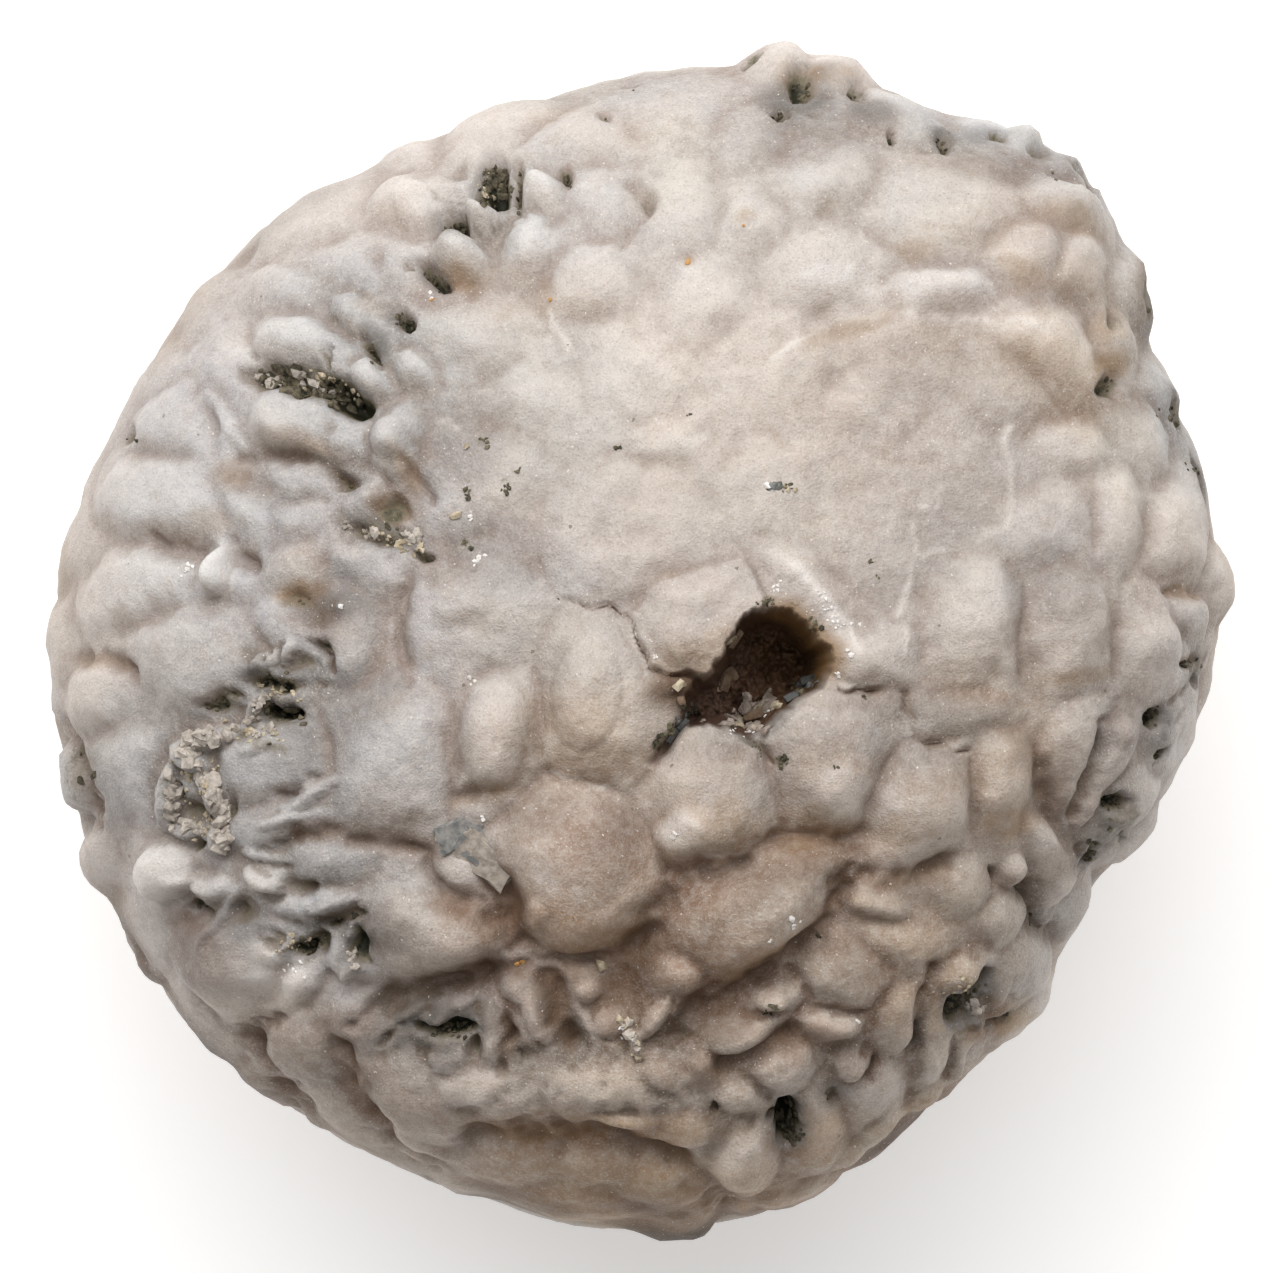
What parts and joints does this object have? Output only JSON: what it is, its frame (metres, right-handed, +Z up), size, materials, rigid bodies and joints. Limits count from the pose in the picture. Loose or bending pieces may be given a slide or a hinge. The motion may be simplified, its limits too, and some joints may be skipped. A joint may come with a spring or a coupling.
{
  "type": "fossil crinoid calyx",
  "caption": "Fossil sea lily calyx: a rounded stone cup and plated dome with knobbly plates, arm openings near the rim and an off-centre anal opening, for display or study.",
  "frame": {"origin": "bottom centre of the bounding box, on the surface that the fossil rests on", "axes": "+Z up through the plated dome, along the axis of the cup; +X and +Y across, with the anal opening towards +X of the dome's middle"},
  "size_m": [0.0394, 0.0392, 0.0256],
  "materials": {
    "calcite": "pale, pinkish cream to lilac grey, worn and faintly waxy, with dark sediment in the pits"
  },
  "bodies": {
    "root": {"calyx": "calcite"}
  },
  "joints": []
}
